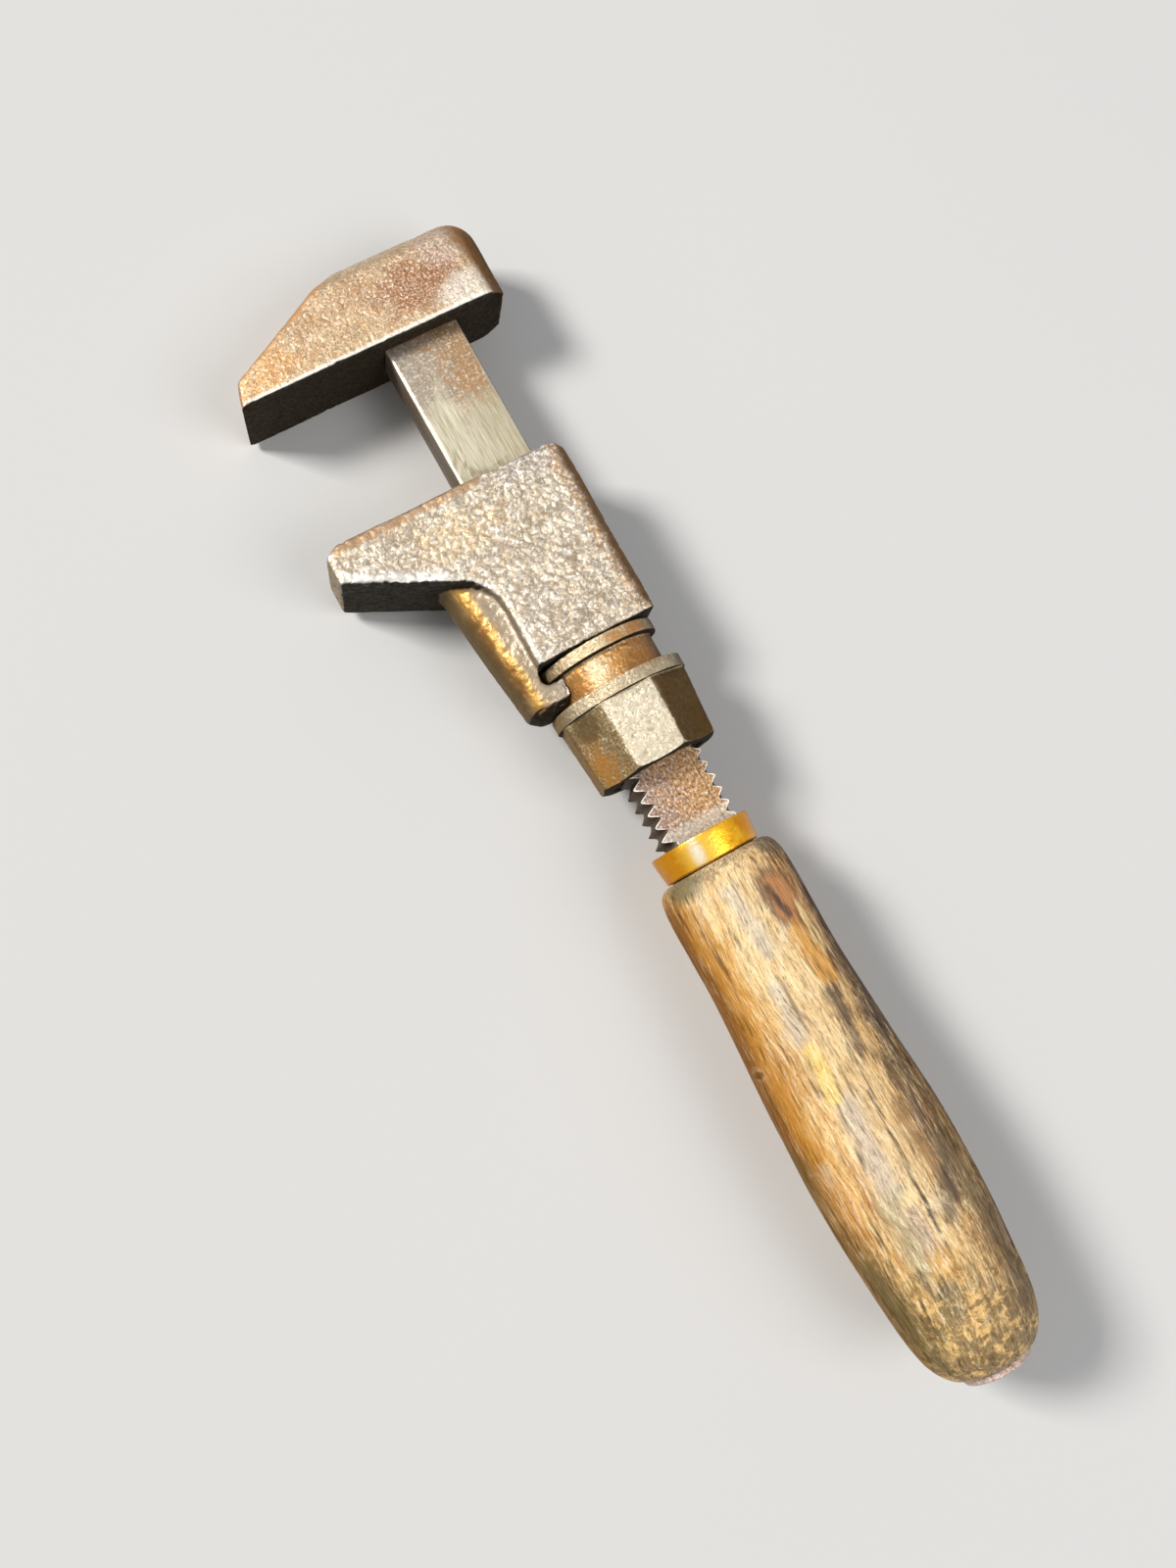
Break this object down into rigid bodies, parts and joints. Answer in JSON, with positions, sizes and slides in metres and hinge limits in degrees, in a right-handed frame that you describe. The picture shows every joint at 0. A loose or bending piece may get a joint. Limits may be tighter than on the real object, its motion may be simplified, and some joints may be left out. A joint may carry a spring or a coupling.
{
  "type": "screw adjustable wrench",
  "caption": "Old screw wrench: a nut with an octagonal grip runs on the bar's threaded edges and moves the lower jaw; turned wooden handle with a brass ferrule.",
  "frame": {"origin": "where the bar's centre line crosses the gripping face of the fixed jaw", "axes": "+Y up the bar through the head, -X to the jaw tips, +Z out of the front face; the wrench lies flat on its back"},
  "size_m": [0.0583, 0.2485, 0.0306],
  "materials": {
    "bar_steel": "worn bright steel with brown patina, drawn lengthwise",
    "head_steel": "forged steel, golden-brown rust patina",
    "jaw_steel": "forged steel, pitted, silvery-brown",
    "nut_steel": "turned steel, rust-brown with bright worn edges",
    "brass": "aged golden brass",
    "wood": "worn hardwood with open grain and dark stains",
    "washer_steel": "worn steel, pinkish"
  },
  "bodies": {
    "frame": {"bar": "bar_steel", "fixed_jaw": "head_steel", "ferrule": "brass", "handle": "wood", "butt_washer": "washer_steel"},
    "jaw": {"sliding_jaw": "jaw_steel"},
    "nut": {"adjusting_nut": "nut_steel"}
  },
  "joints": [
    {"name": "jaw_slide", "type": "slide", "parent": "frame", "child": "jaw", "axis": [0, 1, 0], "range_m": [-0.0138, 0.0317]},
    {"name": "nut_turn", "type": "hinge", "parent": "jaw", "child": "nut", "pos_m": [0, -0.085, 0], "axis": [0, 1, 0], "range_deg": [-1761.5, 4044.9]}
  ],
  "couplings": [
    {"joint": "nut_turn", "follows": "jaw_slide", "rad_per_m": 2226.5}
  ]
}
